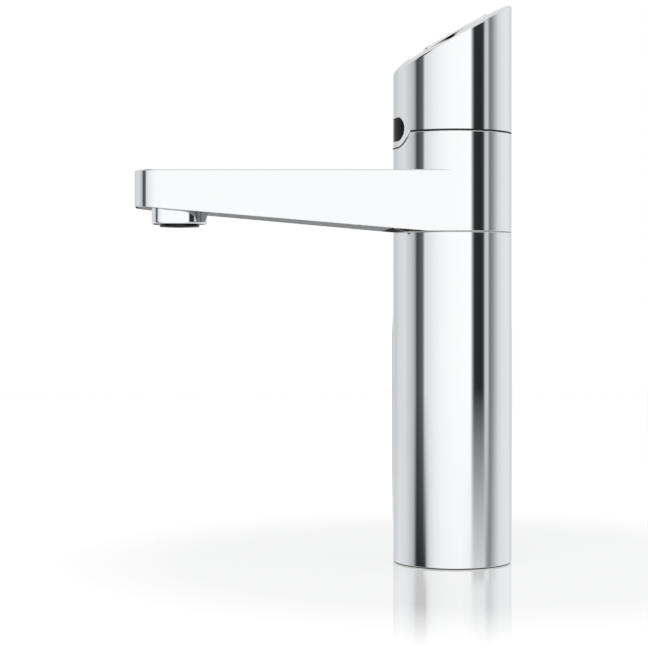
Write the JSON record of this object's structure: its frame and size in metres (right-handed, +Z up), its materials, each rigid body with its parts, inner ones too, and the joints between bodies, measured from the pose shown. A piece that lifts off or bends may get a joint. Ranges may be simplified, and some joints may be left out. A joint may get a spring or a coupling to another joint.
{
  "type": "boiling water tap",
  "caption": "Round chrome worktop tap for boiling and chilled water, with a flat tapered swivel spout and push pads on a sloping head.",
  "frame": {"origin": "middle of the foot, on the face that stands on the worktop", "axes": "+Z up along the column, spout toward -X (the user's side), +Y across the tap"},
  "size_m": [0.19, 0.06, 0.28],
  "materials": {
    "polished_chrome": "mirror-polished chrome plating",
    "satin_metal": "satin chrome plating",
    "brass": "machined brass",
    "stainless_steel": "plain stainless steel",
    "spring_steel": "drawn spring steel",
    "pale_acetal": "moulded pale acetal",
    "black_rubber": "moulded black rubber",
    "black_plastic": "fine-grained black plastic",
    "dark_lens": "glossy smoked lens",
    "clear_silicone": "milky silicone",
    "circuit_board": "lacquered circuit board",
    "red_light": "tinted clear plastic",
    "blue_light": "tinted clear plastic"
  },
  "bodies": {
    "column": {"foot_seal": "black_rubber", "foot_insert": "brass", "boiling_inlet": "pale_acetal", "chilled_inlet": "pale_acetal", "vent_inlet": "pale_acetal", "cable_gland": "black_plastic", "column_shell": "polished_chrome", "swivel_housing": "brass", "stop_pin": "stainless_steel", "lower_bush": "pale_acetal", "upper_bush": "pale_acetal", "swivel_o_ring": "black_rubber"},
    "spout": {"swivel_spigot": "brass", "retaining_ring": "spring_steel", "spigot_screw_1": "stainless_steel", "spigot_screw_2": "stainless_steel", "spigot_screw_3": "stainless_steel", "spout_body": "polished_chrome", "underside_plate": "satin_metal", "plate_screw_1": "stainless_steel", "plate_screw_2": "stainless_steel", "plate_screw_3": "stainless_steel", "plate_screw_4": "stainless_steel", "nozzle_housing": "polished_chrome", "water_manifold": "brass", "aerator_insert": "black_plastic", "flow_straightener": "pale_acetal", "aerator_washer": "black_rubber", "boiling_hose": "clear_silicone", "chilled_hose": "clear_silicone", "vent_hose": "clear_silicone", "control_cable": "black_plastic", "joining_ring": "black_plastic", "ring_screw_1": "stainless_steel", "ring_screw_2": "stainless_steel", "ring_screw_3": "stainless_steel", "head_shell": "polished_chrome", "head_grub_screw": "stainless_steel", "window_lens": "dark_lens", "indicator_board": "circuit_board", "indicator_light_red": "red_light", "indicator_light_blue": "blue_light", "indicator_lead": "black_plastic", "key_carrier": "black_plastic", "key_board": "circuit_board", "carrier_screw_1": "stainless_steel", "carrier_screw_2": "stainless_steel", "board_connector": "black_plastic", "boiling_switch": "black_plastic", "chilled_switch": "black_plastic", "lock_switch": "black_plastic", "boiling_spring": "spring_steel", "chilled_spring": "spring_steel", "lock_spring": "spring_steel"},
    "boiling_button": {"boiling_pad": "polished_chrome"},
    "chilled_button": {"chilled_pad": "polished_chrome"},
    "lock_button": {"lock_key": "polished_chrome"}
  },
  "joints": [
    {"name": "spout_swivel", "type": "hinge", "parent": "column", "child": "spout", "pos_m": [0, 0, 0.1656], "axis": [0, 0, 1], "range_deg": [-60, 60], "deforming": ["boiling_hose", "chilled_hose", "vent_hose", "control_cable"]},
    {"name": "boiling_press", "type": "slide", "parent": "spout", "child": "boiling_button", "axis": [0.4924, 0, -0.8704], "range_m": [0, 0.001], "stiffness_N_per_m": 400, "springref_m": -0.002, "deforming": ["boiling_spring"]},
    {"name": "chilled_press", "type": "slide", "parent": "spout", "child": "chilled_button", "axis": [0.4924, 0, -0.8704], "range_m": [0, 0.001], "stiffness_N_per_m": 400, "springref_m": -0.002, "deforming": ["chilled_spring"]},
    {"name": "lock_press", "type": "slide", "parent": "spout", "child": "lock_button", "axis": [0.4924, 0, -0.8704], "range_m": [0, 0.001], "stiffness_N_per_m": 400, "springref_m": -0.002, "deforming": ["lock_spring"]}
  ]
}
